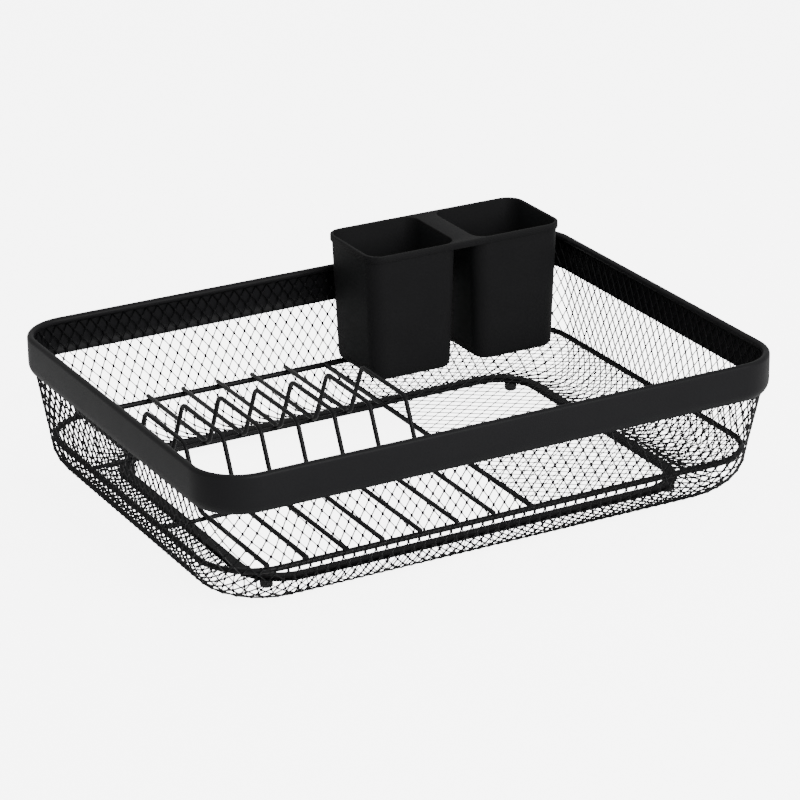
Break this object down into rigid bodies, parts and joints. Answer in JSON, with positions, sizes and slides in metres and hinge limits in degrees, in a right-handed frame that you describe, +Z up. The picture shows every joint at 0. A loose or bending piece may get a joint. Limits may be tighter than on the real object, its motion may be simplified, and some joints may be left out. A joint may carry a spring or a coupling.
{
  "type": "dish drying rack",
  "caption": "Dish drying rack: an open expanded-metal basket with a rolled steel rim, a lift-out wire plate rack with a mesh panel, and a lift-out cutlery holder with side-by-side cups.",
  "frame": {"origin": "on the counter, under the middle of the basket", "axes": "+X along the length, towards the cutlery holder's end; +Y to the back; +Z up"},
  "size_m": [0.42, 0.312, 0.1296],
  "materials": {
    "coated_strip": "satin black powder coat on folded steel strip",
    "coated_mesh": "satin black powder coat on expanded metal",
    "coated_wire": "satin black powder coat on drawn wire, slightly glossier than the strip",
    "foot_rubber": "matt dark grey",
    "moulded_plastic": "matt black, fine moulded grain"
  },
  "bodies": {
    "basket": {"rim_band": "coated_strip", "rim_wire": "coated_wire", "basket_mesh": "coated_mesh", "base_hem": "coated_strip", "foot_front_left": "foot_rubber", "foot_front_right": "foot_rubber", "foot_back_left": "foot_rubber", "foot_back_right": "foot_rubber"},
    "rack": {"rack_ring": "coated_wire", "rack_rail": "coated_wire", "cross_wire_back": "coated_wire", "cross_wire_front": "coated_wire", "mesh_panel": "coated_mesh", "plate_divider_1": "coated_wire", "plate_divider_2": "coated_wire", "plate_divider_3": "coated_wire", "plate_divider_4": "coated_wire", "plate_divider_5": "coated_wire", "plate_divider_6": "coated_wire", "plate_divider_7": "coated_wire"},
    "holder": {"cutlery_holder": "moulded_plastic"}
  },
  "joints": [
    {"name": "rack_lift", "type": "slide", "parent": "basket", "child": "rack", "axis": [0, 0, 1], "range_m": [0, 0.09]},
    {"name": "holder_lift", "type": "slide", "parent": "rack", "child": "holder", "axis": [0, 0, 1], "range_m": [0, 0.08]}
  ]
}
